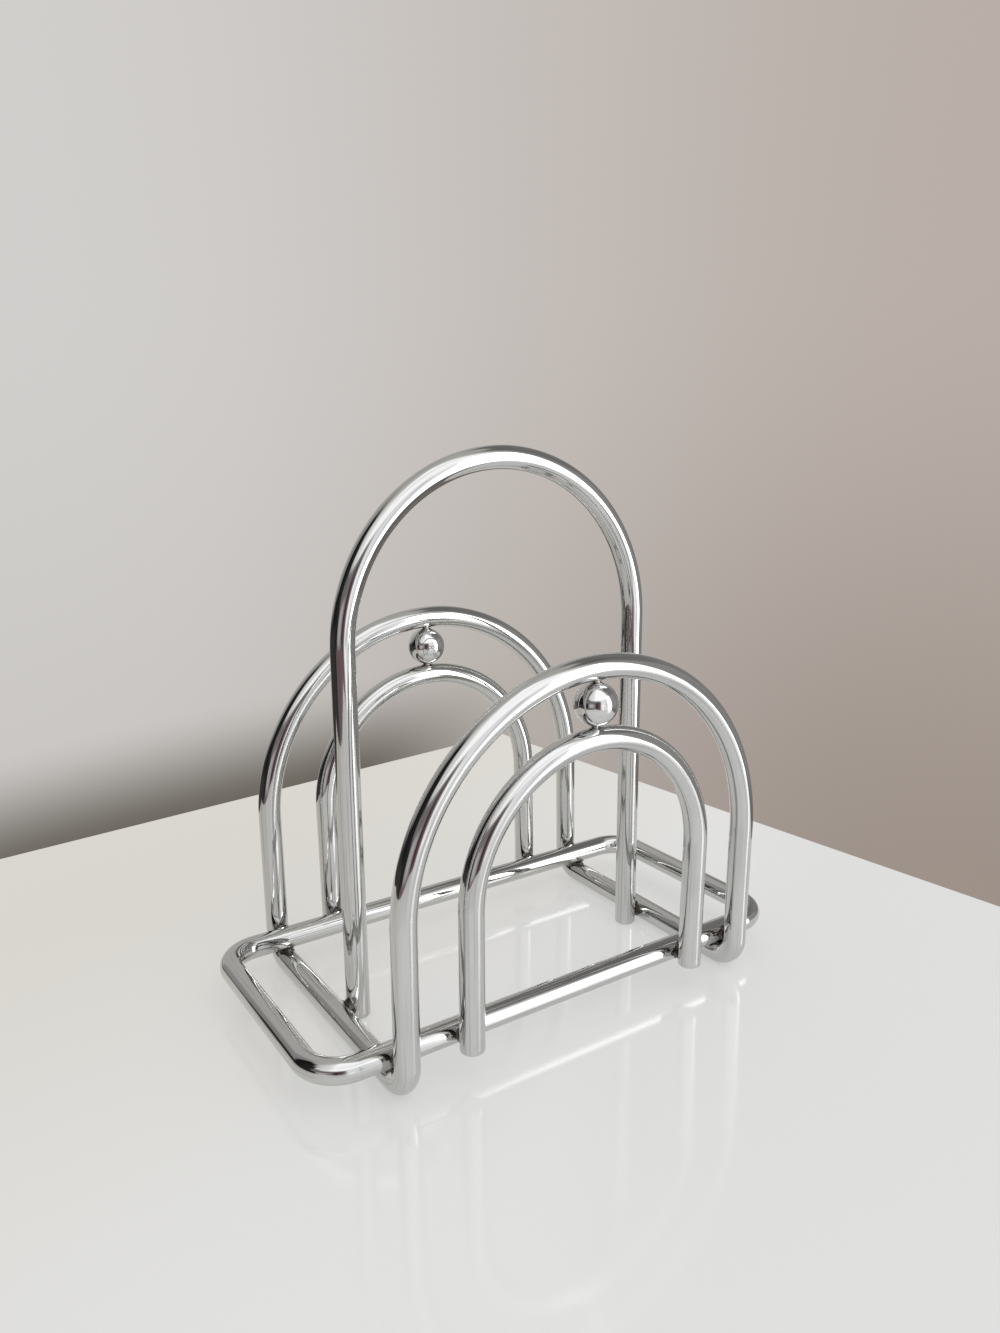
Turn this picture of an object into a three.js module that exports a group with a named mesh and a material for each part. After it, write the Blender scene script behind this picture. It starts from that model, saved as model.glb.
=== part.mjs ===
import * as THREE from 'three';

// Letter holder of bright plated wire, bent and then welded where its wires cross.
// Millimetres, +Z up, +X along the arches, the front arches on the -Y side.
// The origin is on the table, under the middle of the base ring.

// Driving dimensions. Lengths and heights of wires are those of their centre lines.
const WIRE_DIAMETER = 6.35;
const RING_LENGTH = 145.4;
const RING_DEPTH = 67.4;
const RING_CORNER_RADIUS = 9.6;
const OUTER_ARCH_WIDTH = 107.2;
const OUTER_ARCH_HEIGHT = 98.1;
const INNER_ARCH_WIDTH = 71.6;
const HANDLE_HEIGHT = 146.8;
const BALL_DIAMETER = 11.15;

// How far the crowns of the front and rear arches stand out past their legs.
const CROWN_LEAN = 1.15;
// Above the top of the base ring by this much, the legs start to lean outwards.
const LEAN_START = 0.4;
// The foot bend is rounder than the rail that nests in it by this much.
const FOOT_BEND_SLACK = 0.35;
// Cut ends: the inner legs stop below the rail's centre, the handle's just above the table.
const INNER_LEG_TAIL = 2.3;
const HANDLE_END_CLEARANCE = 0.3;

// Weld metal: the gap that it bridges between two wires, and the size of a bead or a neck.
const WELD_GAP = 0.3;
const WELD_BEAD_LENGTH = 3.2;
const WELD_BEAD_RISE = 0.7;
const WELD_NECK_DIAMETER = 3.2;

// Fineness of the faceted surfaces. An arch has an odd number of steps, so that its crown is a flat.
const WIRE_SIDES = 16;
const ARCH_STEPS = 25;
const BEND_STEPS = 6;
const NECK_SIDES = 12;
const BALL_SIDES = 20;
const BALL_BANDS = 11;

// Sizes that follow from the driving dimensions
const wireRadius = WIRE_DIAMETER / 2;
const weldedPitch = WIRE_DIAMETER + WELD_GAP;
const runnerHeight = wireRadius;
const ringHeight = runnerHeight + weldedPitch;
const railY = RING_DEPTH / 2;
const legY = railY + weldedPitch;
const footBendRadius = weldedPitch + FOOT_BEND_SLACK;
const runnerX = OUTER_ARCH_WIDTH / 2;
const innerLegX = INNER_ARCH_WIDTH / 2;
const handleLegX = runnerX - weldedPitch;
const leanFrom = ringHeight + wireRadius + LEAN_START;
const outerSpring = OUTER_ARCH_HEIGHT - runnerX;
const handleSpring = HANDLE_HEIGHT - handleLegX;
const innerLegEnd = ringHeight - INNER_LEG_TAIL;

// The crown's faces are chords, so they lie inside the true arc by the cosine of half a step.
const crownShare = Math.cos(Math.PI / ARCH_STEPS / 2);
const outerCrownUnderside = outerSpring + (runnerX - wireRadius) * crownShare;
const innerCrownTop = outerCrownUnderside - BALL_DIAMETER - 2 * WELD_GAP;
const innerSpring = innerCrownTop - (innerLegX + wireRadius) * crownShare;
const innerArchHeight = innerSpring + innerLegX;
const crownY = legY + CROWN_LEAN;
const ballHeight = (outerCrownUnderside + innerCrownTop) / 2;
const ballFlat = Math.sqrt((BALL_DIAMETER / 2) ** 2 - (WELD_NECK_DIAMETER / 2) ** 2);

const FRONT = -1;
const REAR = 1;
const LEFT = -1;
const RIGHT = 1;
const DEPTH_SIDES = { front: FRONT, rear: REAR };
const WIDTH_SIDES = { left: LEFT, right: RIGHT };

const X = new THREE.Vector3(1, 0, 0);
const Y = new THREE.Vector3(0, 1, 0);
const Z = new THREE.Vector3(0, 0, 1);

// Materials, one for each kind of piece
const wireMaterial = new THREE.MeshStandardMaterial({ color: 0xc8cacc, metalness: 1, roughness: 0.08 });
const ballMaterial = new THREE.MeshStandardMaterial({ color: 0xcfd1d3, metalness: 1, roughness: 0.05 });
const weldMaterial = new THREE.MeshStandardMaterial({ color: 0xa9a8a6, metalness: 1, roughness: 0.22 });

// A regular section with flats on its two axes, so that crossing wires face each other flat to flat.
// Each corner is a pair: a share of the outward axis and a share of the side axis.
function roundSection(radius, sides) {
  const cornerRadius = radius / Math.cos(Math.PI / sides);
  return Array.from({ length: sides }, (_, corner) => {
    const angle = ((corner + 0.5) * 2 * Math.PI) / sides;
    return [cornerRadius * Math.cos(angle), cornerRadius * Math.sin(angle)];
  });
}

// Joins rings of as many points each into one closed body. The points of a ring run
// anticlockwise as seen from the next ring. Open bodies get a flat cap at both ends.
function closedBody(rings, endless) {
  const count = rings[0].length;
  const faces = [];
  const spans = endless ? rings.length : rings.length - 1;
  for (let span = 0; span < spans; span += 1) {
    const here = span * count;
    const there = ((span + 1) % rings.length) * count;
    for (let point = 0; point < count; point += 1) {
      const next = (point + 1) % count;
      faces.push(here + point, here + next, there + next);
      faces.push(here + point, there + next, there + point);
    }
  }
  if (!endless) {
    const last = (rings.length - 1) * count;
    for (let point = 1; point < count - 1; point += 1) {
      faces.push(0, point + 1, point);
      faces.push(last, last + point, last + point + 1);
    }
  }
  const geometry = new THREE.BufferGeometry().setFromPoints(rings.flat());
  geometry.setIndex(faces);
  geometry.computeVertexNormals();
  return geometry;
}

// A section set square to a station of a path
function sectionAt({ centre, along, outward }, section) {
  const side = new THREE.Vector3().crossVectors(along, outward);
  return section.map(([out, across]) =>
    centre.clone().addScaledVector(outward, out).addScaledVector(side, across));
}

// The path of a wire as it is bent: straight runs and round bends, one after the other.
// A station holds the centre, the direction along the wire and the direction that faces outwards.
class WirePath {
  constructor(start, along, outward) {
    this.stations = [{ centre: start.clone(), along: along.clone(), outward: outward.clone() }];
  }

  get end() {
    return this.stations.at(-1);
  }

  straight(length) {
    const { centre, along, outward } = this.end;
    this.stations.push({
      centre: centre.clone().addScaledVector(along, length),
      along: along.clone(),
      outward: outward.clone(),
    });
    return this;
  }

  bend(towards, radius, turn, steps) {
    const { centre, along } = this.end;
    const pivot = centre.clone().addScaledVector(towards, radius);
    const axis = new THREE.Vector3().crossVectors(along, towards).normalize();
    for (let step = 0; step < steps; step += 1) {
      const from = this.end;
      const angle = turn / steps;
      this.stations.push({
        centre: from.centre.clone().sub(pivot).applyAxisAngle(axis, angle).add(pivot),
        along: from.along.clone().applyAxisAngle(axis, angle),
        outward: from.outward.clone().applyAxisAngle(axis, angle),
      });
    }
    return this;
  }

  // Ends a loop: the last station lies on the first one, so it is left out.
  close() {
    this.stations.pop();
    return this;
  }

  // Tilts what is above leanFrom outwards, until the crown stands CROWN_LEAN past the legs.
  leanOut(crownHeight) {
    const slope = CROWN_LEAN / (crownHeight - leanFrom);
    for (const place of this.stations) {
      const rise = place.centre.z - leanFrom;
      if (rise > 1e-6) {
        const outwards = Math.sign(place.centre.y);
        place.centre.y += outwards * slope * rise;
        place.along.y += outwards * slope * place.along.z;
        place.along.normalize();
      }
    }
    return this;
  }
}

function wireBody(path, endless = false) {
  const section = roundSection(wireRadius, WIRE_SIDES);
  return closedBody(path.stations.map((place) => sectionAt(place, section)), endless);
}

function piece(name, geometry, material, position = new THREE.Vector3()) {
  const mesh = new THREE.Mesh(geometry, material);
  mesh.name = name;
  mesh.position.copy(position);
  return mesh;
}

// Base ring: a closed rounded rectangle, modelled in its own plane
function baseRing() {
  const halfLength = RING_LENGTH / 2;
  const longRun = RING_LENGTH - 2 * RING_CORNER_RADIUS;
  const shortRun = RING_DEPTH - 2 * RING_CORNER_RADIUS;
  const path = new WirePath(new THREE.Vector3(halfLength, -shortRun / 2, 0), Y, X);
  for (const run of [shortRun, longRun, shortRun, longRun]) {
    const inwards = path.end.outward.clone().negate();
    path.straight(run);
    path.bend(inwards, RING_CORNER_RADIUS, Math.PI / 2, BEND_STEPS);
  }
  return piece('base_ring', wireBody(path.close(), true), wireMaterial, new THREE.Vector3(0, 0, ringHeight));
}

// Outer frame: one endless wire, over the front arch, back along the right runner,
// over the rear arch and forward along the left runner
function outerFrame() {
  const footTop = runnerHeight + footBendRadius;
  const runnerLength = 2 * (legY - footBendRadius);
  const start = new THREE.Vector3(-runnerX, FRONT * legY, footTop);
  const path = new WirePath(start, Z, X.clone().negate());
  for (const inwards of [Y, Y.clone().negate()]) {
    path.straight(leanFrom - footTop);
    path.straight(outerSpring - leanFrom);
    path.bend(path.end.outward.clone().negate(), runnerX, Math.PI, ARCH_STEPS);
    path.straight(outerSpring - leanFrom);
    path.straight(leanFrom - footTop);
    path.bend(inwards, footBendRadius, Math.PI / 2, BEND_STEPS);
    path.straight(runnerLength);
    path.bend(Z, footBendRadius, Math.PI / 2, BEND_STEPS);
  }
  path.close().leanOut(OUTER_ARCH_HEIGHT);
  return piece('outer_frame', wireBody(path, true), wireMaterial);
}

// Inner arch: a hoop with two cut ends, nested in the outer arch of the same face
function innerArch(name, side) {
  const path = new WirePath(new THREE.Vector3(-innerLegX, side * legY, innerLegEnd), Z, X.clone().negate());
  path.straight(leanFrom - innerLegEnd);
  path.straight(innerSpring - leanFrom);
  path.bend(X, innerLegX, Math.PI, ARCH_STEPS);
  path.straight(innerSpring - leanFrom);
  path.straight(leanFrom - innerLegEnd);
  path.leanOut(innerArchHeight);
  return piece(`inner_arch_${name}`, wireBody(path), wireMaterial);
}

// Handle: the tall hoop in the middle, its legs inside the two runners
function handle() {
  const legLength = handleSpring - HANDLE_END_CLEARANCE;
  const path = new WirePath(new THREE.Vector3(-handleLegX, 0, 0), Z, X.clone().negate());
  path.straight(legLength);
  path.bend(X, handleLegX, Math.PI, ARCH_STEPS);
  path.straight(legLength);
  return piece('handle', wireBody(path), wireMaterial, new THREE.Vector3(0, 0, HANDLE_END_CLEARANCE));
}

// Ball between the two crowns of a face, ground flat at the top and the bottom for its welds
function ball(name, side) {
  const flatAngle = Math.acos(ballFlat / (BALL_DIAMETER / 2));
  const rings = Array.from({ length: BALL_BANDS + 1 }, (_, band) => {
    const angle = Math.PI - flatAngle - ((Math.PI - 2 * flatAngle) * band) / BALL_BANDS;
    const height = (BALL_DIAMETER / 2) * Math.cos(angle);
    const place = { centre: new THREE.Vector3(0, 0, height), along: Z, outward: X };
    return sectionAt(place, roundSection((BALL_DIAMETER / 2) * Math.sin(angle), BALL_SIDES));
  });
  const position = new THREE.Vector3(0, side * crownY, ballHeight);
  return piece(`ball_${name}`, closedBody(rings, false), ballMaterial, position);
}

// Weld neck: a short disc between a ball's flat and the crown above or below it
function ballNeck(name, side, level, up) {
  const section = roundSection(WELD_NECK_DIAMETER / 2, NECK_SIDES);
  const height = BALL_DIAMETER / 2 + WELD_GAP - ballFlat;
  const low = up > 0 ? ballFlat : -ballFlat - height;
  const ends = [low, low + height].map((z) =>
    sectionAt({ centre: new THREE.Vector3(0, 0, z), along: Z, outward: X }, section));
  const position = new THREE.Vector3(0, side * crownY, ballHeight);
  return piece(`weld_ball_${name}_${level}`, closedBody(ends, false), weldMaterial, position);
}

// Weld bead: fills the notch between a round wire, whose centre is at position, and the flat side
// of a wire that crosses it. towards points at the crossing wire and rising to the open side of
// the notch, and the bead runs along the round wire for WELD_BEAD_LENGTH.
function weldBead(name, position, towards, rising) {
  const corners = roundSection(wireRadius, WIRE_SIDES);
  const [near, far] = corners;
  const wall = wireRadius + WELD_GAP;
  const notch = [[wall, near[1]], [wall, far[1] + WELD_BEAD_RISE], far, near];
  const along = new THREE.Vector3().crossVectors(towards, rising);
  const ends = [-0.5, 0.5].map((share) => sectionAt({
    centre: new THREE.Vector3().addScaledVector(along, share * WELD_BEAD_LENGTH),
    along,
    outward: towards,
  }, notch));
  return piece(`weld_${name}`, closedBody(ends, false), weldMaterial, position);
}

// Beads on top of the rails at each leg, and inside the rails on each runner
function railWelds() {
  const welds = [];
  for (const [depthName, depthSide] of Object.entries(DEPTH_SIDES)) {
    const outwards = Y.clone().multiplyScalar(depthSide);
    const inwards = outwards.clone().negate();
    for (const [widthName, widthSide] of Object.entries(WIDTH_SIDES)) {
      const place = `${depthName}_${widthName}`;
      const atOuterLeg = new THREE.Vector3(widthSide * runnerX, depthSide * railY, ringHeight);
      const atInnerLeg = new THREE.Vector3(widthSide * innerLegX, depthSide * railY, ringHeight);
      welds.push(weldBead(`rail_outer_leg_${place}`, atOuterLeg, outwards, Z));
      welds.push(weldBead(`rail_inner_leg_${place}`, atInnerLeg, outwards, Z));
      welds.push(weldBead(`rail_runner_${place}`, atOuterLeg, Z.clone().negate(), inwards));
    }
  }
  return welds;
}

// Beads on top of the runners, against the handle's legs
function handleWelds() {
  return Object.entries(WIDTH_SIDES).map(([name, side]) => {
    const position = new THREE.Vector3(side * runnerX, 0, runnerHeight);
    return weldBead(`handle_runner_${name}`, position, X.clone().multiplyScalar(-side), Z);
  });
}

function face(name, side) {
  const group = new THREE.Group();
  group.add(innerArch(name, side));
  group.add(ball(name, side));
  group.add(ballNeck(name, side, 'top', 1));
  group.add(ballNeck(name, side, 'bottom', -1));
  return group;
}

const letterHolder = new THREE.Group();
letterHolder.add(baseRing());
letterHolder.add(outerFrame());
letterHolder.add(handle());
for (const [name, side] of Object.entries(DEPTH_SIDES)) {
  letterHolder.add(face(name, side));
}
letterHolder.add(...railWelds(), ...handleWelds());

export default letterHolder;
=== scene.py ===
"""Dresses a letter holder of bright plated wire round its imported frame.

The wires are round rods swept along the path that a bender gives them, the balls are turned, and
each weld is a collar of metal between two surfaces. Everything is in metres, +Z up. The origin is
on the table, under the middle of the base ring, and the front arches are on the -Y side.
"""

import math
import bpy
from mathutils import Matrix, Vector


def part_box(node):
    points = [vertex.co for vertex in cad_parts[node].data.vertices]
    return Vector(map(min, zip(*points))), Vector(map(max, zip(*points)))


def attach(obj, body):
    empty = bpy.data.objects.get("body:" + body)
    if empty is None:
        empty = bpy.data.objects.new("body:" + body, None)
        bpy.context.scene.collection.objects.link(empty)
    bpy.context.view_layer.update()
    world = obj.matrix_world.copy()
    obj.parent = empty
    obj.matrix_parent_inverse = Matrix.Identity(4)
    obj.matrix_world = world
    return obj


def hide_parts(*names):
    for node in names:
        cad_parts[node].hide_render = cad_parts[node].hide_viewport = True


bl_info = {
    "name": "Letter Holder",
    "version": (1, 0, 0),
    "blender": (4, 5, 0),
    "location": "3D View > Sidebar > Letter Holder",
    "description": "Builds the plated wires, balls and welds of a letter holder, and its stage",
    "category": "Add Mesh",
}

from types import SimpleNamespace

import bpy
import numpy as np
from bpy.props import FloatProperty, FloatVectorProperty, PointerProperty
from bpy.types import NodeSocket, Operator, Panel, PropertyGroup
from mathutils import Matrix

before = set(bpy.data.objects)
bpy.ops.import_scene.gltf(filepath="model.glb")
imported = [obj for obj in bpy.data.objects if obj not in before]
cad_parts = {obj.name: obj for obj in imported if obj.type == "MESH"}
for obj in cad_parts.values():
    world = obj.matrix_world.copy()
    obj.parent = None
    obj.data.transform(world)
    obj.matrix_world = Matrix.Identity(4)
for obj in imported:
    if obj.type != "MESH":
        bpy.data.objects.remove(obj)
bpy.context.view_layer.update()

BODY = "root"
MILLIMETRE = 0.001
X = np.array([1.0, 0.0, 0.0])
Y = np.array([0.0, 1.0, 0.0])
Z = np.array([0.0, 0.0, 1.0])
DEPTH_SIDES = {"front": -1, "rear": 1}
WIDTH_SIDES = {"left": -1, "right": 1}

# Fineness of the surfaces
WIRE_SIDES = 48
STRAIGHT_STEP = 1.6 * MILLIMETRE
BEND_STEP = 0.7 * MILLIMETRE
LEAST_BEND_ROWS = 24
CUT_ROWS = 5
BALL_SIDES = 96
BALL_BANDS = 64
COLLAR_SIDES = 56
COLLAR_ROWS = 21

# The tightness at which a bend flattens the wire by the full share, and the share of the
# flattening by which it widens
FULL_TIGHTNESS = 0.5
WIDENING = 0.5
# The lean fades out over this many softnesses below its start
LEAN_TAIL = 5
# The waves that run round a collar, and how fast the finer ones fade
COLLAR_WAVES = np.array([2, 3, 5, 8])
COLLAR_WAVE_FADE = 0.7
# The two rings that close a collar's sunken end, as shares of its foot
COLLAR_CAP_SHARES = np.array([[0.45], [0.95]])
# The necks' unevenness is drawn from seeds that no crossing uses
NECK_SEED = 100
# The heat tint and the painted shade beside a neck reach this share of a crossing's
NECK_HEAT_AND_SHADE_SHARE = 0.5

# Scales of the plating's patterns, in repeats per metre
WAVE_SCALE = 90.0
PATCH_SCALE = 70.0
SPECK_SCALE = 900.0
HEAT_AND_SHADE_SCALE = 600.0
RIPPLE_SCALE = 700.0
SCORCH_SCALE = 420.0
PIT_SCALE = 2600.0
# The lines repeat often round the wire and seldom along it
LINE_SCALES = (6.5, 6.5, 0.08)

# Where a pattern's noise passes from nothing to the full mark
PATCH_EDGE = (0.48, 0.72)
SPECK_EDGE = (0.7, 0.78)
HEAT_AND_SHADE_EDGE = (0.3, 0.6)
SCORCH_EDGE = (0.4, 0.7)
PIT_EDGE = (0.62, 0.8)
LINE_AND_REFLECTION_EDGE = (0.5, 0.7)
STREAK_EDGE = (0.45, 0.75)

# Heights of the relief
WIRE_WAVES = 0.05 * MILLIMETRE
WIRE_LINES = 0.004 * MILLIMETRE
BALL_WAVES = 0.03 * MILLIMETRE
WELD_RIPPLES = 0.03 * MILLIMETRE
NECK_RIPPLES = 0.04 * MILLIMETRE
# How much higher the waves are in a bend, and how deep the pits are against the ripples
BEND_WAVES = 4.0
PIT_DEPTH = 0.3

# Strength of the specks against the patches, and the least strength of the mark of heat tint and painted
# shade beside a weld
SPECK_STRENGTH = 0.5
HEAT_AND_SHADE_LEAST = 0.35
# What is left of the plating's colour under haze, in a line, which is partly a drawing mark and
# partly a painted reflection streak, and right beside a weld, which is partly heat tint and partly
# painted shade
HAZE_TONE = 0.86
LINE_AND_REFLECTION_TONE = 0.8
# Right beside a weld: partly heat tint, partly painted shade where the wires meet
HEAT_AND_SHADE_TINT = (0.2, 0.17, 0.15, 1)
# What haze, heat and lines add to the plating's roughness, and haze to the weld metal's
HAZE_ROUGHNESS = 0.1
HEAT_ROUGHNESS = 0.16
LINE_ROUGHNESS = 0.03
MELT_ROUGHNESS = 0.2


def sizes_of_frame():
    """Reads the sizes of the centre lines, and the places of the balls, off the boxes of the CAD nodes."""
    ring_low, ring_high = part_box("base_ring")
    outer_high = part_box("outer_frame")[1]
    inner_low, inner_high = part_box("inner_arch_front")
    handle_low, handle_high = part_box("handle")
    ball_low, ball_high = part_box("ball_rear")
    radius = (ring_high.z - ring_low.z) / 2
    return SimpleNamespace(
        radius=radius,
        ring_half_length=ring_high.x - radius,
        ring_half_depth=ring_high.y - radius,
        ring_height=ring_low.z + radius,
        runner_x=outer_high.x - radius,
        outer_top=outer_high.z - radius,
        crown_y=outer_high.y - radius,
        leg_y=radius - inner_high.y,
        inner_x=inner_high.x - radius,
        inner_top=inner_high.z - radius,
        inner_end=inner_low.z,
        handle_x=handle_high.x - radius,
        handle_top=handle_high.z - radius,
        handle_end=handle_low.z,
        ball_radius=(ball_high.y - ball_low.y) / 2,
        ball_height=(ball_high.z + ball_low.z) / 2,
    )


SIZES = sizes_of_frame()


def length(name, description, millimetres):
    """A property that holds a length, with its default in millimetres."""
    return FloatProperty(
        name=name,
        description=description,
        default=millimetres * MILLIMETRE,
        min=0.0,
        precision=5,
        subtype="DISTANCE",
        unit="LENGTH",
    )


def share(name, description, default):
    """A property that holds a share from 0 to 1."""
    return FloatProperty(
        name=name, description=description, default=default, min=0.0, max=1.0, subtype="FACTOR"
    )


def colour(name, description, default):
    """A property that holds a colour."""
    return FloatVectorProperty(
        name=name, description=description, default=tuple(default), min=0.0, max=1.0, subtype="COLOR"
    )


class HolderWires(PropertyGroup):
    """How the wires are bent and cut."""

    corner_radius: length("Ring corner", "Bend radius of the ring's corners, at the wire's middle", 9.6)
    foot_slack: length("Foot slack", "By how much the foot bends are rounder than the rail inside them", 0.35)
    lean_start: length("Lean start", "Height above the ring at which the legs start to lean", 0.4)
    lean_softness: length("Lean softness", "Length over which the lean sets in", 3.0)
    cut_edge: length("Cut edge", "Rounding of the cut ends by the plating", 0.55)
    cut_dish: length("Cut dish", "Hollow in the middle of the cut ends", 0.12)
    flattening: share("Flattening", "How much a tight bend flattens the wire's section", 0.035)


class HolderWelds(PropertyGroup):
    """Size and unevenness of the weld metal."""

    waist: length("Waist", "Radius of a weld half way between two wires", 2.0)
    foot: length("Foot", "Radius of a weld where it meets the wires", 2.45)
    neck_waist: length("Neck waist", "Radius of a ball's weld at its narrowest", 1.0)
    neck_foot: length("Neck foot", "Radius of a ball's weld where it meets ball and wire", 1.8)
    sink: length("Sink", "How deep the ends of a weld lie inside the wires", 0.25)
    unevenness: share("Unevenness", "How much a weld's radius varies round it", 0.07)
    # The reach of the dulling, the heat tint and the painted shade beside a weld
    heat_and_shade_reach: length("Heat reach", "How far from a weld the plating is dulled", 3.3)


class HolderFinish(PropertyGroup):
    """Colours and gloss of the plating."""

    wire_colour: colour("Wire", "Colour of the plated wire", (0.62, 0.62, 0.61))
    ball_colour: colour("Ball", "Colour of the plated balls", (0.65, 0.65, 0.64))
    # The weld colour is partly the weld metal's own and partly painted shade in the crease where the wires
    # cross
    weld_and_crease_shade_colour: colour("Weld", "Colour of the weld metal at the crossings", (0.13, 0.12, 0.11))
    weld_scorch: colour("Weld scorch", "Colour of its scorched patches", (0.05, 0.04, 0.03))
    neck_and_crease_shade_colour: colour("Neck", "Colour of the plated weld metal at the balls", (0.55, 0.55, 0.54))
    neck_scorch: colour("Neck scorch", "Colour of its scorched patches", (0.3, 0.28, 0.26))
    wire_roughness: share("Wire roughness", "Roughness of the clean plating on the wires", 0.05)
    ball_roughness: share("Ball roughness", "Roughness of the clean plating on the balls", 0.035)
    weld_roughness: share("Weld roughness", "Roughness of the weld metal at the crossings", 0.36)
    neck_roughness: share("Neck roughness", "Roughness of the weld metal at the balls", 0.18)
    haze: share("Haze", "How much handling has dulled the plating in patches", 0.35)


class HolderStage(PropertyGroup):
    """Colours of the table and the backdrop, and the even light."""

    table_colour: colour("Table", "Colour of the plain table in front", (0.77, 0.77, 0.765))
    # The table's rear colour is painted shade and a painted reflection of the backdrop
    table_rear_painted_shade: colour("Table rear", "Colour of the plain table at the back", (0.7, 0.678, 0.625))
    table_shading: share("Table shading", "How strongly the table shows the shade under the holder", 0.38)
    backdrop_left: colour("Backdrop left", "Colour of the backdrop on the left", (0.64, 0.625, 0.61))
    backdrop_right: colour("Backdrop right", "Colour of the backdrop on the right", (0.485, 0.425, 0.39))
    world_strength: share("World strength", "Strength of the even light from all round", 0.84)


def of_scene(group):
    """The values that the scene holds for one group of properties."""
    return getattr(bpy.context.scene, group)


def turned(vector, axis, angles):
    """A vector turned about a unit axis by each of the angles.

    The result is the vector times the angle's cosine, plus the axis crossed with the vector times
    its sine, plus the part of the vector along the axis times one minus the cosine.
    """
    cosine = np.cos(angles)[:, None]
    sine = np.sin(angles)[:, None]
    return vector * cosine + np.cross(axis, vector) * sine + axis * (vector @ axis) * (1 - cosine)


class WirePath:
    """The middle line of a wire, as a bender makes it: straight runs and round bends in turn.

    Each row holds a point, the direction along the wire, the direction that faces outwards, and
    how tight the bend is, as the wire's radius over the bend's.
    """

    def __init__(self, start, along, outward):
        self.centres = np.array([start])
        self.alongs = np.array([along])
        self.outwards = np.array([outward])
        self.tightness = np.zeros(1)

    def extend(self, centres, alongs, outwards, tightness):
        """Adds rows to the end of the path."""
        self.centres = np.vstack([self.centres, centres])
        self.alongs = np.vstack([self.alongs, alongs])
        self.outwards = np.vstack([self.outwards, outwards])
        self.tightness = np.append(self.tightness, tightness)

    def straight(self, run):
        """Rows spaced evenly from the last point along the wire's direction."""
        rows = max(2, math.ceil(run / STRAIGHT_STEP))
        shares = np.linspace(0, 1, rows + 1)[1:, None]
        centres = self.centres[-1] + self.alongs[-1] * run * shares
        alongs = np.repeat(self.alongs[-1:], rows, axis=0)
        outwards = np.repeat(self.outwards[-1:], rows, axis=0)
        self.extend(centres, alongs, outwards, np.zeros(rows))

    def bend(self, towards, radius, turn):
        """Rows turned evenly about the bend's middle, which lies towards the given side.

        The tightness swells from nothing at either end, as the root of a half wave.
        """
        rows = max(LEAST_BEND_ROWS, math.ceil(radius * turn / BEND_STEP))
        angles = np.linspace(0, turn, rows + 1)[1:]
        middle = self.centres[-1] + towards * radius
        axis = np.cross(self.alongs[-1], towards)
        centres = middle + turned(self.centres[-1] - middle, axis, angles)
        alongs = turned(self.alongs[-1], axis, angles)
        outwards = turned(self.outwards[-1], axis, angles)
        swell = np.sin(np.pi * angles / turn) ** 0.5
        self.extend(centres, alongs, outwards, SIZES.radius / radius * swell)

    def close(self):
        """Drops the last row of an endless wire, which lies on the first."""
        self.centres = self.centres[:-1]
        self.alongs = self.alongs[:-1]
        self.outwards = self.outwards[:-1]
        self.tightness = self.tightness[:-1]

    def lean(self, crown_height):
        """Leans what is above the ring outwards, in Y, until the crown stands crown_y out.

        The shift is the slope times half of the rise plus the root of its square and the softness
        squared, which is a ramp with a rounded start.
        """
        wires = of_scene("holder_wires")
        start = SIZES.ring_height + SIZES.radius + wires.lean_start
        slope = (SIZES.crown_y - SIZES.leg_y) / (crown_height - start)
        rise = self.centres[:, 2] - start
        side = np.sign(self.centres[:, 1]) * (rise > -LEAN_TAIL * wires.lean_softness)
        ramp = (rise + np.hypot(rise, wires.lean_softness)) / 2
        steepness = (1 + rise / np.hypot(rise, wires.lean_softness)) / 2
        self.centres[:, 1] += side * slope * ramp
        self.alongs[:, 1] += side * slope * steepness * self.alongs[:, 2]
        self.alongs /= np.linalg.norm(self.alongs, axis=1)[:, None]


def cut_end(path, last):
    """The rings of a cut end, from near the middle of its face out to the full section: their
    centres, their radii and the pole in the middle.

    The face is dished: its setback falls with the square of the radius. Its edge is a quarter
    circle, so the radius grows as the sine of a turn while the setback grows as one minus its
    cosine.
    """
    wires = of_scene("holder_wires")
    edge = wires.cut_edge
    flat = SIZES.radius - edge
    shares = np.linspace(0, 1, CUT_ROWS)[1:]
    face_radii = flat * shares
    face_setbacks = wires.cut_dish * (1 - shares**2)
    turns = np.linspace(0, math.pi / 2, CUT_ROWS + 1)[1:]
    edge_radii = flat + edge * np.sin(turns)
    edge_setbacks = edge * (1 - np.cos(turns))
    radii = np.append(face_radii, edge_radii)
    setbacks = np.append(face_setbacks, edge_setbacks)
    row = -1 if last else 0
    inwards = path.alongs[row] * (-1 if last else 1)
    centres = path.centres[row] + inwards * setbacks[:, None]
    pole = path.centres[row] + inwards * wires.cut_dish
    return centres, radii, pole


def with_ends(values, rows):
    """A wire's directions, with the first and the last repeated for the rings of its cut ends."""
    return np.vstack([np.repeat(values[:1], rows, 0), values[1:-1], np.repeat(values[-1:], rows, 0)])


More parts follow.
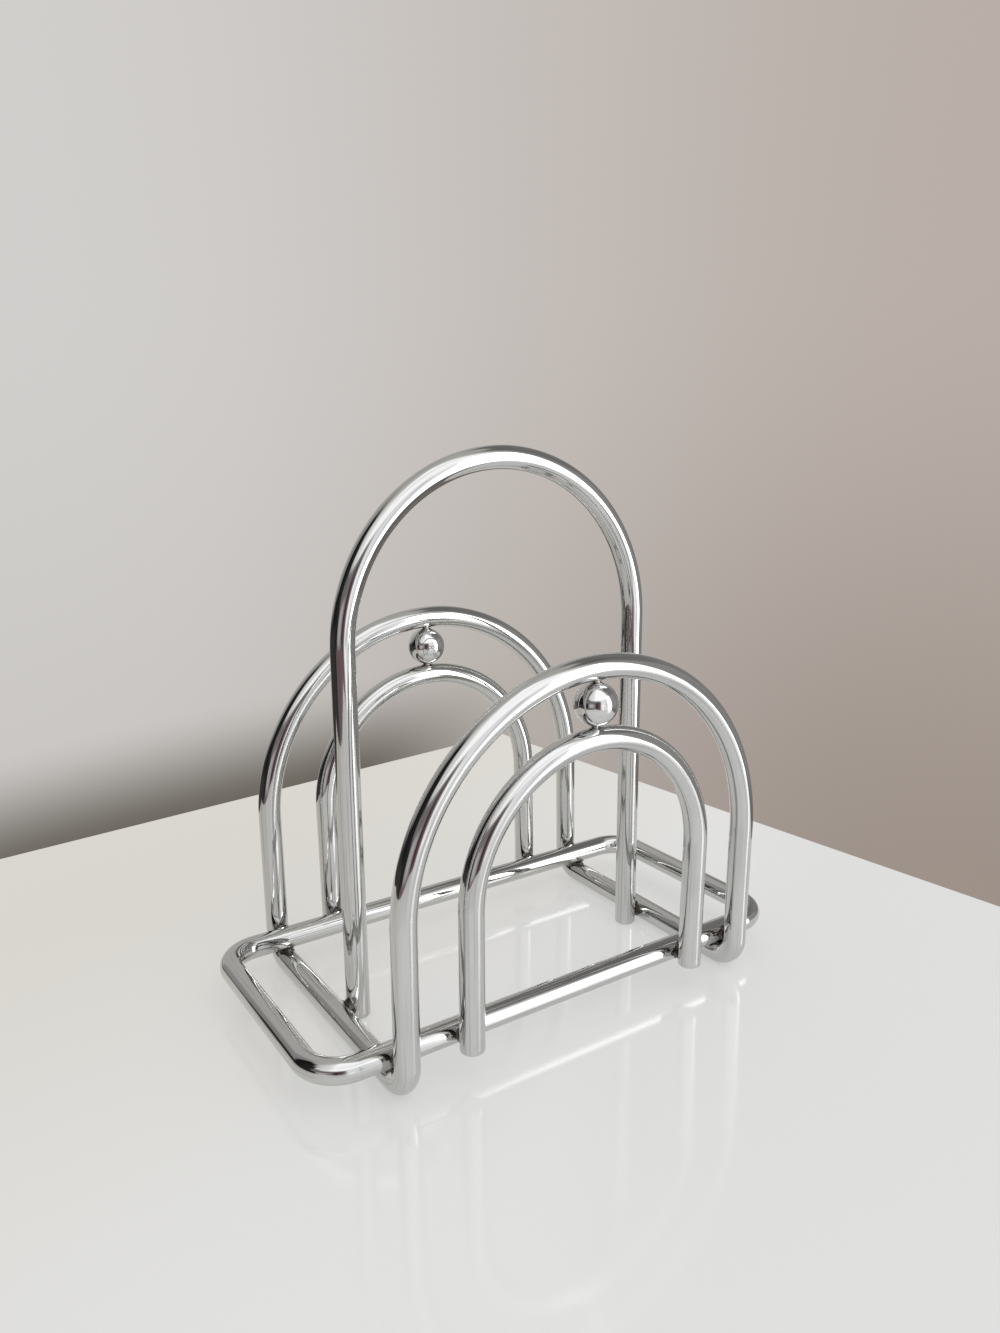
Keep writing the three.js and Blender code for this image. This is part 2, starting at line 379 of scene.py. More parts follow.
def wire_surface(name, path, endless):
    """The wire's skin: a circle carried along the path, with its two axes outwards and sideways.

    A tight bend flattens the circle on its outer side, by a share that grows with the square of
    the cosine of the angle from there, and widens it sideways by half of that share.
    """
    flattening = of_scene("holder_wires").flattening
    centres, alongs, outwards = path.centres, path.alongs, path.outwards
    tightness = path.tightness
    radii = np.full(len(centres), SIZES.radius)
    poles = None
    if not endless:
        first_centres, first_radii, first_pole = cut_end(path, last=False)
        last_centres, last_radii, last_pole = cut_end(path, last=True)
        rows = len(first_radii)
        centres = np.vstack([first_centres, centres[1:-1], last_centres[::-1]])
        radii = np.concatenate([first_radii, radii[1:-1], last_radii[::-1]])
        alongs = with_ends(alongs, rows)
        outwards = with_ends(outwards, rows)
        tightness = np.concatenate([np.zeros(rows), tightness[1:-1], np.zeros(rows)])
        poles = (first_pole, last_pole)
    angles = np.arange(WIRE_SIDES) * 2 * math.pi / WIRE_SIDES
    sides = np.cross(alongs, outwards)
    squeeze = flattening * tightness[:, None] / FULL_TIGHTNESS
    out = radii[:, None] * np.cos(angles) * (1 - squeeze * (np.cos(angles) > 0) * np.cos(angles) ** 2)
    across = radii[:, None] * np.sin(angles) * (1 + squeeze * WIDENING)
    grid = centres[:, None] + out[..., None] * outwards[:, None] + across[..., None] * sides[:, None]
    steps = np.linalg.norm(np.diff(centres, axis=0), axis=1)
    distances = np.append(0.0, np.cumsum(steps))
    piece = surface(name, grid, endless, poles)
    mark_wire(piece, angles, distances, tightness, endless)
    return piece


def surface(name, grid, endless=False, poles=None):
    """A closed skin from a grid of points: each row of the grid is a ring, joined to the next one.

    An endless skin joins its last ring to the first. Any other is closed by a fan of triangles
    from each pole. The rings run anticlockwise as seen from the rings that follow them.
    """
    rows, columns = grid.shape[:2]
    index = np.arange(rows * columns).reshape(rows, columns)
    here = index if endless else index[:-1]
    there = np.roll(index, -1, axis=0) if endless else index[1:]
    quads = np.stack([here, np.roll(here, -1, axis=1), np.roll(there, -1, axis=1), there], axis=-1)
    faces = quads.reshape(-1, 4).tolist()
    points = grid.reshape(-1, 3)
    if poles is not None:
        points = np.vstack([points, poles])
        first, last = index[0], index[-1]
        start = np.stack([np.full(columns, len(points) - 2), np.roll(first, -1), first], axis=-1)
        end = np.stack([np.full(columns, len(points) - 1), last, np.roll(last, -1)], axis=-1)
        faces += start.tolist() + end.tolist()
    mesh = bpy.data.meshes.new(name)
    mesh.from_pydata(points.tolist(), [], faces)
    mesh.shade_smooth()
    mesh.update()
    piece = bpy.data.objects.new(name, mesh)
    bpy.context.scene.collection.objects.link(piece)
    return piece


def add_attribute(piece, name, kind, values):
    """Stores one value for each vertex, for the materials to read."""
    attribute = piece.data.attributes.new(name, kind, "POINT")
    field = "vector" if kind == "FLOAT_VECTOR" else "value"
    attribute.data.foreach_set(field, np.asarray(values, np.float32).ravel())


def mark_heat_and_shade(piece, places, reach):
    """Marks each vertex with the nearness of the nearest weld, for the dulling, the welding tint and
    the painted shade beside it: a bell curve of the distance from it, one over e raised to the square
    of the distance over the reach."""
    points = np.zeros(len(piece.data.vertices) * 3)
    piece.data.vertices.foreach_get("co", points)
    offsets = points.reshape(-1, 1, 3) - np.array([place.contact for place in places])
    nearest = np.linalg.norm(offsets, axis=2).min(axis=1)
    add_attribute(piece, "heat", "FLOAT", np.exp(-((nearest / reach) ** 2)))


def mark_wire(piece, angles, distances, tightness, endless):
    """Marks each vertex of a wire for its finish.

    grain holds the cosine and sine of the angle round the wire, and the distance along it in wire
    radii, counted from the middle so that an endless wire's pattern has no step. bend is the
    tightness of the bend, and the third mark the nearness of the nearest crossing's weld, which
    dulls the plating and darkens it as a welding tint and as painted shade.
    """
    rows, columns = len(distances), len(angles)
    count = len(piece.data.vertices)
    along = np.abs(distances - distances[-1] / 2) / SIZES.radius
    grain = np.zeros((count, 3))
    ring = np.stack(np.broadcast_arrays(np.cos(angles), np.sin(angles), along[:, None]), axis=-1)
    grain[: rows * columns] = ring.reshape(-1, 3)
    bend = np.zeros(count)
    bend[: rows * columns] = np.repeat(tightness, columns)
    if not endless:
        grain[-2:, 2] = along[[0, -1]]
    add_attribute(piece, "grain", "FLOAT_VECTOR", grain)
    add_attribute(piece, "bend", "FLOAT", bend)
    mark_heat_and_shade(piece, crossing_places(), of_scene("holder_welds").heat_and_shade_reach)


def collar(name, low, high, waist, foot, place, seed):
    """A collar of weld metal that grows out of one surface and into another.

    low and high give the height of the two surfaces over a point (p, q) of the plane between them.
    The radius is the waist in the middle and grows to the foot with the cube of the distance from
    it, and its height runs evenly from the low surface to the high one. A few waves round the
    collar make it uneven. Below the feet both ends sink into the metal and close on a pole.
    """
    welds = of_scene("holder_welds")
    random = np.random.default_rng(seed)
    angles = np.arange(COLLAR_SIDES) * 2 * math.pi / COLLAR_SIDES
    phases = random.uniform(0, 2 * math.pi, len(COLLAR_WAVES))
    waves = np.sin(COLLAR_WAVES[:, None] * angles + phases[:, None])
    ripple = (waves / COLLAR_WAVES[:, None] ** COLLAR_WAVE_FADE).sum(axis=0)
    shares = np.linspace(0, 1, COLLAR_ROWS)
    radii = waist + (foot - waist) * np.abs(2 * shares - 1) ** 3
    radii = radii[:, None] * (1 + welds.unevenness * ripple)
    p = radii * np.cos(angles)
    q = radii * np.sin(angles)
    heights = (1 - shares)[:, None] * low(p, q) + shares[:, None] * high(p, q)
    low_p, low_q = p[0] * COLLAR_CAP_SHARES, q[0] * COLLAR_CAP_SHARES
    high_p, high_q = p[-1] * COLLAR_CAP_SHARES[::-1], q[-1] * COLLAR_CAP_SHARES[::-1]
    all_p = np.vstack([low_p, p, high_p])
    all_q = np.vstack([low_q, q, high_q])
    all_heights = np.vstack([low(low_p, low_q) - welds.sink, heights, high(high_p, high_q) + welds.sink])
    frame_axes = np.array([place.across, np.cross(place.normal, place.across), place.normal])
    grid = place.contact + np.stack([all_p, all_q, all_heights], axis=-1) @ frame_axes
    middle = np.zeros(1)
    poles = np.array([
        place.contact + place.normal * (low(middle, middle) - welds.sink),
        place.contact + place.normal * (high(middle, middle) + welds.sink),
    ])
    return surface(name, grid, poles=poles)


def weld_place(node, contact, normal, across):
    """Where a weld is: the point half way between the two surfaces, the direction from the first
    wire to the second, and the direction along the first."""
    return SimpleNamespace(
        node=node,
        contact=np.asarray(contact, float),
        normal=np.asarray(normal, float),
        across=np.asarray(across, float),
    )


def rail_weld_places():
    """The welds of the ring: on the outer legs, on the inner legs and on the runners."""
    between_y = (SIZES.ring_half_depth + SIZES.leg_y) / 2
    between_z = (SIZES.ring_height + SIZES.radius) / 2
    places = []
    for depth, depth_side in DEPTH_SIDES.items():
        for width, width_side in WIDTH_SIDES.items():
            outer = (width_side * SIZES.runner_x, depth_side * between_y, SIZES.ring_height)
            inner = (width_side * SIZES.inner_x, depth_side * between_y, SIZES.ring_height)
            runner = (width_side * SIZES.runner_x, depth_side * SIZES.ring_half_depth, between_z)
            ending = f"{depth}_{width}"
            places.append(weld_place(f"weld_rail_outer_leg_{ending}", outer, Y * depth_side, X))
            places.append(weld_place(f"weld_rail_inner_leg_{ending}", inner, Y * depth_side, X))
            places.append(weld_place(f"weld_rail_runner_{ending}", runner, Z, Y))
    return places


def handle_weld_places():
    """The welds between the runners and the handle's legs."""
    between_x = (SIZES.runner_x + SIZES.handle_x) / 2
    return [
        weld_place(f"weld_handle_runner_{width}", (side * between_x, 0, SIZES.radius), X * -side, Y)
        for width, side in WIDTH_SIDES.items()
    ]


def neck_places():
    """The welds over and under each ball."""
    ball_top = SIZES.ball_height + SIZES.ball_radius
    ball_foot = SIZES.ball_height - SIZES.ball_radius
    over = (ball_top + SIZES.outer_top - SIZES.radius) / 2
    under = (ball_foot + SIZES.inner_top + SIZES.radius) / 2
    places = []
    for depth, side in DEPTH_SIDES.items():
        places.append(weld_place(f"weld_ball_{depth}_top", (0, side * SIZES.crown_y, over), Z, X))
        places.append(weld_place(f"weld_ball_{depth}_bottom", (0, side * SIZES.crown_y, under), Z, X))
    return places


def crossing_places():
    """Every weld where two wires cross."""
    return rail_weld_places() + handle_weld_places()


def dress(piece, material, slot, *nodes):
    """Gives a piece its material, puts it on its body and lets it stand for CAD nodes. The slot is not used.
    """
    piece.data.materials.append(material)
    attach(piece, BODY)
    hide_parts(*nodes)


def darker(tone, factor):
    """A colour times a factor, as a node takes it."""
    return tuple(factor * part for part in tone) + (1,)


class NodeMaker:
    """Adds nodes to a tree, with their settings and their inputs, one call for each."""

    def __init__(self, tree):
        self.tree = tree

    def add(self, kind, inputs=None, **settings):
        """A new node, with its settings and its inputs."""
        node = self.tree.nodes.new(kind)
        for name, value in settings.items():
            setattr(node, name, value)
        self.fill(node, inputs or {})
        return node

    def fill(self, node, inputs):
        """Gives a node its inputs: one given as a socket is linked, and any other is set."""
        for key, value in inputs.items():
            if isinstance(value, NodeSocket):
                self.tree.links.new(value, node.inputs[key])
            else:
                node.inputs[key].default_value = value

    def maths(self, operation, first, second=0.0, third=0.0):
        """A number worked out from up to three others."""
        inputs = {0: first, 1: second, 2: third}
        return self.add("ShaderNodeMath", inputs, operation=operation).outputs[0]

    def vector(self, operation, first, second=(0, 0, 0)):
        """A vector, or the dot product, of two others."""
        node = self.add("ShaderNodeVectorMath", {0: first, 1: second}, operation=operation)
        return node.outputs["Value" if operation == "DOT_PRODUCT" else "Vector"]

    def ramp(self, value, low, high, to_low=0.0, to_high=1.0):
        """A value carried smoothly from one range to another, held at both ends."""
        inputs = {"Value": value, "From Min": low, "From Max": high, "To Min": to_low, "To Max": to_high}
        return self.add("ShaderNodeMapRange", inputs, interpolation_type="SMOOTHSTEP").outputs["Result"]

    def mix_colours(self, factor, first, second, blend="MIX"):
        """The first colour, with the second blended over it by the factor."""
        inputs = {"Factor": factor, 6: first, 7: second}
        return self.add("ShaderNodeMix", inputs, data_type="RGBA", blend_type=blend).outputs[2]

    def noise(self, vector, scale, detail=2.0, roughness=0.5):
        """Smooth noise from 0 to 1."""
        inputs = {"Vector": vector, "Scale": scale, "Detail": detail, "Roughness": roughness}
        return self.add("ShaderNodeTexNoise", inputs).outputs["Fac"]

    def group(self, tree, inputs):
        """The outputs of a node group."""
        return self.add("ShaderNodeGroup", inputs, node_tree=tree).outputs

    def bump(self, height):
        """The normal of a surface that is raised by a height in metres."""
        inputs = {"Strength": 1.0, "Distance": 1.0, "Height": height}
        return self.add("ShaderNodeBump", inputs).outputs["Normal"]


def node_group(name, inputs, outputs, build):
    """A shader node group with named sockets, made once and then reused."""
    tree = bpy.data.node_groups.get(name)
    if tree is None:
        tree = bpy.data.node_groups.new(name, "ShaderNodeTree")
        for socket_name, kind, default in inputs:
            socket = tree.interface.new_socket(socket_name, in_out="INPUT", socket_type=kind)
            if default is not None:
                socket.default_value = default
        for socket_name, kind in outputs:
            tree.interface.new_socket(socket_name, in_out="OUTPUT", socket_type=kind)
        entry = tree.nodes.new("NodeGroupInput")
        leaving = tree.nodes.new("NodeGroupOutput")
        for key, socket in build(NodeMaker(tree), entry.outputs).items():
            tree.links.new(socket, leaving.inputs[key])
    return tree


def plating_waves(maker, entry):
    """Slow waves of the polished surface, higher in the bends, and fine lines along the wire."""
    slow = maker.noise(entry["Position"], entry["Wave Scale"], detail=1.0)
    slow_height = maker.maths("MULTIPLY", slow, entry["Wave Height"])
    strength = maker.maths("ADD", 1.0, maker.maths("MULTIPLY", entry["Bend"], BEND_WAVES))
    stretched = maker.vector("MULTIPLY", entry["Grain"], LINE_SCALES)
    lines = maker.noise(stretched, 1.0, detail=2.0, roughness=0.55)
    line_height = maker.maths("MULTIPLY", lines, entry["Line Height"])
    height = maker.maths("ADD", maker.maths("MULTIPLY", slow_height, strength), line_height)
    return {"Height": height, "Lines": lines}


def waves_group():
    """The node group of the plating's relief."""
    inputs = [
        ("Position", "NodeSocketVector", None),
        ("Grain", "NodeSocketVector", None),
        ("Bend", "NodeSocketFloat", 0.0),
        ("Wave Scale", "NodeSocketFloat", WAVE_SCALE),
        ("Wave Height", "NodeSocketFloat", 0.0),
        ("Line Height", "NodeSocketFloat", 0.0),
    ]
    outputs = [("Height", "NodeSocketFloat"), ("Lines", "NodeSocketFloat")]
    return node_group("Plating Waves", inputs, outputs, plating_waves)


def handling_haze(maker, entry):
    """Patches of dull film from handling, and small specks, as a mask from 0 to 1."""
    patches = maker.noise(entry["Position"], PATCH_SCALE, detail=4.0, roughness=0.62)
    broad = maker.ramp(patches, *PATCH_EDGE)
    specks = maker.noise(entry["Position"], SPECK_SCALE, detail=1.0)
    small = maker.ramp(specks, *SPECK_EDGE)
    both = maker.maths("MAXIMUM", broad, maker.maths("MULTIPLY", small, SPECK_STRENGTH))
    return {"Mask": maker.maths("MULTIPLY", both, entry["Amount"])}


def haze_group():
    """The node group of the haze, by a full or lesser amount."""
    inputs = [("Position", "NodeSocketVector", None), ("Amount", "NodeSocketFloat", 0.0)]
    return node_group("Handling Haze", inputs, [("Mask", "NodeSocketFloat")], handling_haze)


def weld_heat_and_shade(maker, entry):
    """Dulling and a dark brown tint near a weld, broken up by noise. The tint is partly the weld's own
    discolouring and partly painted shade where the wires meet.
    """
    noise = maker.noise(entry["Position"], HEAT_AND_SHADE_SCALE, detail=3.0)
    patchy = maker.ramp(noise, *HEAT_AND_SHADE_EDGE, HEAT_AND_SHADE_LEAST, 1.0)
    broken = maker.maths("MULTIPLY", entry["Heat And Shade"], patchy)
    return {"Mask": broken, "Tint": maker.mix_colours(broken, (1, 1, 1, 1), HEAT_AND_SHADE_TINT)}


def heat_and_shade_group():
    """The node group of what a weld does to the plating beside it: dulling, and a tint that is partly
    welding discolour and partly painted shade.
    """
    inputs = [("Position", "NodeSocketVector", None), ("Heat And Shade", "NodeSocketFloat", 0.0)]
    outputs = [("Mask", "NodeSocketFloat"), ("Tint", "NodeSocketColor")]
    return node_group("Weld Heat And Shade", inputs, outputs, weld_heat_and_shade)


def new_material(name):
    """An empty node material with its Principled shader, and the maker of its nodes."""
    material = bpy.data.materials.new(name)
    material.use_nodes = True
    maker = NodeMaker(material.node_tree)
    shader = material.node_tree.nodes["Principled BSDF"]
    return material, maker, shader


def chrome_material(name, tone, roughness, wave_height, line_height):
    """Bright plating: clear metal, dulled in patches by handling and close to the welds.

    The colour is the plating's own, a little darker under haze and in the fine lines, where the
    darkening is partly drawing marks and partly painted reflection streaks, and browner and darker
    near a weld, partly as a welding tint and partly as painted shade where the wires meet. Roughness
    rises with all three, and the relief is that of the waves and the lines.
    """
    material = bpy.data.materials.get(name)
    if material is not None:
        return material
    material, maker, shader = new_material(name)
    position = maker.add("ShaderNodeTexCoord").outputs["Object"]
    grain = maker.add("ShaderNodeAttribute", attribute_name="grain").outputs["Vector"]
    bend = maker.add("ShaderNodeAttribute", attribute_name="bend").outputs["Fac"]
    heat = maker.add("ShaderNodeAttribute", attribute_name="heat").outputs["Fac"]
    amount = of_scene("holder_finish").haze
    haze = maker.group(haze_group(), {"Position": position, "Amount": amount})["Mask"]
    burn_and_shade = maker.group(heat_and_shade_group(), {"Position": position, "Heat And Shade": heat})
    relief = {
        "Position": position,
        "Grain": grain,
        "Bend": bend,
        "Wave Height": wave_height,
        "Line Height": line_height,
    }
    waves = maker.group(waves_group(), relief)
    hazed = maker.mix_colours(haze, (*tone, 1), darker(tone, HAZE_TONE))
    # Darker fine lines: drawing marks, and partly painted reflection streaks
    line_and_reflection_mask = maker.ramp(waves["Lines"], *LINE_AND_REFLECTION_EDGE)
    lined_and_reflected = maker.mix_colours(line_and_reflection_mask, hazed, darker(tone, LINE_AND_REFLECTION_TONE))
    # Heat tint and painted shade beside a weld darken and brown the colour
    heat_and_shade_tinted = maker.mix_colours(1.0, lined_and_reflected, burn_and_shade["Tint"], "MULTIPLY")
    dulled = maker.maths("ADD", roughness, maker.maths("MULTIPLY", haze, HAZE_ROUGHNESS))
    burnt = maker.maths("ADD", dulled, maker.maths("MULTIPLY", burn_and_shade["Mask"], HEAT_ROUGHNESS))
    streaks = maker.ramp(waves["Lines"], *STREAK_EDGE, 0.0, LINE_ROUGHNESS)
    maker.fill(shader, {
        "Metallic": 1.0,
        "Base Color": heat_and_shade_tinted,
        "Roughness": maker.maths("ADD", burnt, streaks),
        "Normal": maker.bump(waves["Height"]),
    })
    return material


def wire_material():
    """The plating of the wires, with fine lines drawn along them, whose darker colour is partly
    painted reflection streaks.
    """
    finish = of_scene("holder_finish")
    return chrome_material("bright_wire", finish.wire_colour, finish.wire_roughness, WIRE_WAVES, WIRE_LINES)


def ball_material():
    """The plating of the balls, smoother and without lines."""
    finish = of_scene("holder_finish")
    return chrome_material("bright_ball", finish.ball_colour, finish.ball_roughness, BALL_WAVES, 0.0)


def melt_material(name, tone, scorch, roughness, ripple_height):
    """Plated weld metal, rippled and pitted by the melt, and scorched in patches.

    The relief is the ripples less a share of the pits, times the ripples' height.
    """
    material = bpy.data.materials.get(name)
    if material is not None:
        return material
    material, maker, shader = new_material(name)
    position = maker.add("ShaderNodeTexCoord").outputs["Object"]
    ripples = maker.noise(position, RIPPLE_SCALE, detail=2.0)
    pits = maker.ramp(maker.noise(position, PIT_SCALE, detail=1.0), *PIT_EDGE)
    haze = maker.group(haze_group(), {"Position": position, "Amount": 1.0})["Mask"]
    scorched = maker.ramp(maker.noise(position, SCORCH_SCALE, detail=2.0), *SCORCH_EDGE)
    pitted = maker.maths("SUBTRACT", ripples, maker.maths("MULTIPLY", pits, PIT_DEPTH))
    height = maker.maths("MULTIPLY", pitted, ripple_height)
    maker.fill(shader, {
        "Metallic": 1.0,
        "Base Color": maker.mix_colours(scorched, (*tone, 1), (*scorch, 1)),
        "Roughness": maker.maths("ADD", roughness, maker.maths("MULTIPLY", haze, MELT_ROUGHNESS)),
        "Normal": maker.bump(height),
    })
    return material


def weld_material():
    """The dark, scorched weld metal where wires cross, its darkness partly painted shade in the crease
    between them.
    """
    finish = of_scene("holder_finish")
    tones = (finish.weld_and_crease_shade_colour, finish.weld_scorch)
    return melt_material("weld_metal", *tones, finish.weld_roughness, WELD_RIPPLES)


def neck_material():
    """The brighter weld metal over and under the balls."""
    finish = of_scene("holder_finish")
    tones = (finish.neck_and_crease_shade_colour, finish.neck_scorch)
    return melt_material("neck_metal", *tones, finish.neck_roughness, NECK_RIPPLES)


class HOLDER_OT_base_ring(Operator):
    """Bends the base ring, a rounded rectangle that lies level above the table"""

    bl_idname = "holder.base_ring"
    bl_label = "Base Ring"

    def execute(self, context):
        corner = context.scene.holder_wires.corner_radius
        long_run = 2 * (SIZES.ring_half_length - corner)
        short_run = 2 * (SIZES.ring_half_depth - corner)
        start = X * SIZES.ring_half_length - Y * short_run / 2 + Z * SIZES.ring_height
        path = WirePath(start, Y, X)
        for run in (short_run, long_run, short_run, long_run):
            path.straight(run)
            path.bend(-path.outwards[-1], corner, math.pi / 2)
        path.close()
        piece = wire_surface("ring_wire", path, endless=True)
        dress(piece, wire_material(), "chrome_wire", "base_ring")
        return {"FINISHED"}


class HOLDER_OT_outer_frame(Operator):
    """Bends the endless wire of the two outer arches and the two runners"""

    bl_idname = "holder.outer_frame"
    bl_label = "Outer Frame"

    def execute(self, context):
        foot = SIZES.ring_height - SIZES.radius + context.scene.holder_wires.foot_slack
        foot_top = SIZES.radius + foot
        spring = SIZES.outer_top - SIZES.runner_x
        start = -X * SIZES.runner_x - Y * SIZES.leg_y + Z * foot_top
        path = WirePath(start, Z, -X)
        for inwards in (Y, -Y):
            path.straight(spring - foot_top)
            path.bend(-path.outwards[-1], SIZES.runner_x, math.pi)
            path.straight(spring - foot_top)
            path.bend(inwards, foot, math.pi / 2)
            path.straight(2 * (SIZES.leg_y - foot))
            path.bend(Z, foot, math.pi / 2)
        path.close()
        path.lean(SIZES.outer_top)
        piece = wire_surface("frame_wire", path, endless=True)
        dress(piece, wire_material(), "chrome_wire", "outer_frame")
        return {"FINISHED"}


def hoop(half_width, depth, end, top):
    """The path of a hoop with cut ends: up the left leg, over half a circle and down the right leg."""
    leg = top - half_width - end
    path = WirePath(-X * half_width + Y * depth + Z * end, Z, -X)
    path.straight(leg)
    path.bend(X, half_width, math.pi)
    path.straight(leg)
    return path


class HOLDER_OT_inner_arches(Operator):
    """Bends the two inner arches, whose legs are cut just below the ring"""

    bl_idname = "holder.inner_arches"
    bl_label = "Inner Arches"

    def execute(self, context):
        for depth, side in DEPTH_SIDES.items():
            path = hoop(SIZES.inner_x, side * SIZES.leg_y, SIZES.inner_end, SIZES.inner_top)
            path.lean(SIZES.inner_top)
            piece = wire_surface(f"inner_wire_{depth}", path, endless=False)
            dress(piece, wire_material(), "chrome_wire", f"inner_arch_{depth}")
        return {"FINISHED"}


class HOLDER_OT_handle(Operator):
    """Bends the tall hoop in the middle, whose legs are cut just above the table"""

    bl_idname = "holder.handle"
    bl_label = "Handle"

    def execute(self, context):
        path = hoop(SIZES.handle_x, 0, SIZES.handle_end, SIZES.handle_top)
        piece = wire_surface("handle_wire", path, endless=False)
        dress(piece, wire_material(), "chrome_wire", "handle")
        return {"FINISHED"}


class HOLDER_OT_balls(Operator):
    """Turns the two balls, which sit between the crowns of the arches"""

    bl_idname = "holder.balls"
    bl_label = "Balls"

    def execute(self, context):
        """Each ring of a ball has the sine of its polar angle as radius, and the cosine as height."""
        polar = np.linspace(math.pi, 0, BALL_BANDS + 1)[1:-1, None]
        turns = np.arange(BALL_SIDES) * 2 * math.pi / BALL_SIDES
        unit = np.stack(
            np.broadcast_arrays(np.sin(polar) * np.cos(turns), np.sin(polar) * np.sin(turns), np.cos(polar)),
            axis=-1,
        )
        reach = context.scene.holder_welds.heat_and_shade_reach * NECK_HEAT_AND_SHADE_SHARE
        for depth, side in DEPTH_SIDES.items():
            middle = Y * side * SIZES.crown_y + Z * SIZES.ball_height
            grid = middle + unit * SIZES.ball_radius
            poles = [middle - Z * SIZES.ball_radius, middle + Z * SIZES.ball_radius]
            piece = surface(f"bright_ball_{depth}", grid, poles=poles)
            mark_heat_and_shade(piece, neck_places(), reach)
            dress(piece, ball_material(), "chrome_ball", f"ball_{depth}")
        return {"FINISHED"}


class HOLDER_OT_crossing_welds(Operator):
    """Lays the weld metal where the ring, the legs, the runners and the handle cross"""

    bl_idname = "holder.crossing_welds"
    bl_label = "Crossing Welds"

    def execute(self, context):
        """The wires' surfaces stand off the middle plane by half the pitch less the height of a
        circle: the first wire curves across q and the second across p."""
        welds = context.scene.holder_welds
        half_pitch = (SIZES.ring_height - SIZES.radius) / 2

        def low(p, q):
            return np.sqrt(SIZES.radius**2 - q**2) - half_pitch

        def high(p, q):
            return half_pitch - np.sqrt(SIZES.radius**2 - p**2)

        for seed, place in enumerate(crossing_places()):
            name = place.node.replace("weld", "collar")
            piece = collar(name, low, high, welds.waist, welds.foot, place, seed)
            dress(piece, weld_material(), "chrome_weld", place.node)
        return {"FINISHED"}


class HOLDER_OT_ball_necks(Operator):
    """Lays the weld metal over and under the balls"""

    bl_idname = "holder.ball_necks"
    bl_label = "Ball Necks"

    def execute(self, context):
        """A ball falls away as a sphere from its top, and a crown as a circle across the wire less
        the fall of the arch along it."""
        welds = context.scene.holder_welds
        ball = SIZES.ball_radius
        for seed, place in enumerate(neck_places(), NECK_SEED):
            top = place.node.endswith("top")
            arch = SIZES.runner_x - SIZES.radius if top else SIZES.inner_x + SIZES.radius
            gap = self.gap(top)
            middle = gap / 2

            def on_ball(p, q):
                return middle + ball - np.sqrt(ball**2 - p**2 - q**2)

            def on_wire(p, q):
                across = SIZES.radius - np.sqrt(SIZES.radius**2 - q**2)
                return middle + across, arch - np.sqrt(arch**2 - p**2)

            def low(p, q):
                if top:
                    return -on_ball(p, q)
                across, fall = on_wire(p, q)
                return -across - fall

            def high(p, q):
                if not top:
                    return on_ball(p, q)
                across, fall = on_wire(p, q)
                return across - fall

            name = place.node.replace("weld", "neck")
            piece = collar(name, low, high, welds.neck_waist, welds.neck_foot, place, seed)
            dress(piece, neck_material(), "chrome_weld", place.node)
        return {"FINISHED"}

    def gap(self, top):
        """The room between a ball and the crown over or under it."""
        if top:
            return SIZES.outer_top - SIZES.radius - SIZES.ball_height - SIZES.ball_radius
        return SIZES.ball_height - SIZES.ball_radius - SIZES.inner_top - SIZES.radius


# The stage. The holder stands a little turned on the table.
TABLE_LEFT = -0.29
TABLE_RIGHT = 0.1475
TABLE_FRONT = -0.3
TABLE_REAR = 0.1787
TABLE_TURN = math.radians(5.95)
TABLE_ROUGHNESS = 0.1
# Between these depths, towards the back and a little to the left, the table's colour passes to
# its darker, warmer rear: painted shade, as the light falls from the front, and a painted
# reflection of the backdrop
TABLE_DEPTH_AXIS = (-0.35, 0.94, 0)
TABLE_PAINTED_SHADE_FROM = -0.06
TABLE_PAINTED_SHADE_TO = 0.16
# How brightly the open table is lit, as a share of its colour
TABLE_LIGHT = 0.93

# The lamp, high in front
LAMP_PLACE = (0, -0.5, 0.6)
LAMP_WIDTH = 0.8
LAMP_DEPTH = 0.7
LAMP_POWER = 1.8
LAMP_COLOUR = (1.0, 0.99, 0.97)

# The camera, at the photograph's angle
CAMERA_PLACE = (-0.1482, -0.2237, 0.1531)
CAMERA_HEADING = math.radians(33.48)
CAMERA_DIP = math.radians(13.18)
CAMERA_ROLL = math.radians(-0.46)
CAMERA_LENS = 27.06
CAMERA_SENSOR = 36.0
CAMERA_NEAR = 0.01


def soft_card(maker, entry):
    """A soft-edged card far away, as a mask over the directions.

    The mask falls smoothly from 1 to 0 past each edge: sideways over the side softness and up and
    down over the level softness, all in degrees.
    """
    aside = maker.maths("SUBTRACT", entry["Azimuth"], entry["Middle"])
    aside = maker.maths("ABSOLUTE", maker.maths("WRAP", aside, 180.0, -180.0))
    above = maker.maths("ABSOLUTE", maker.maths("SUBTRACT", entry["Height"], entry["Level"]))
    side_edge = maker.maths("ADD", entry["Half Width"], entry["Side Softness"])
    level_edge = maker.maths("ADD", entry["Half Height"], entry["Level Softness"])
    sideways = maker.ramp(aside, entry["Half Width"], side_edge, 1.0, 0.0)
    upright = maker.ramp(above, entry["Half Height"], level_edge, 1.0, 0.0)
    return {"Mask": maker.maths("MULTIPLY", sideways, upright)}


CARD_SOCKETS = (
    "Azimuth",
    "Height",
    "Middle",
    "Half Width",
    "Side Softness",
    "Level",
    "Half Height",
    "Level Softness",
)


def card_group():
    """The node group of one card."""
    inputs = [(name, "NodeSocketFloat", 0.0) for name in CARD_SOCKETS]
    return node_group("Soft Card", inputs, [("Mask", "NodeSocketFloat")], soft_card)


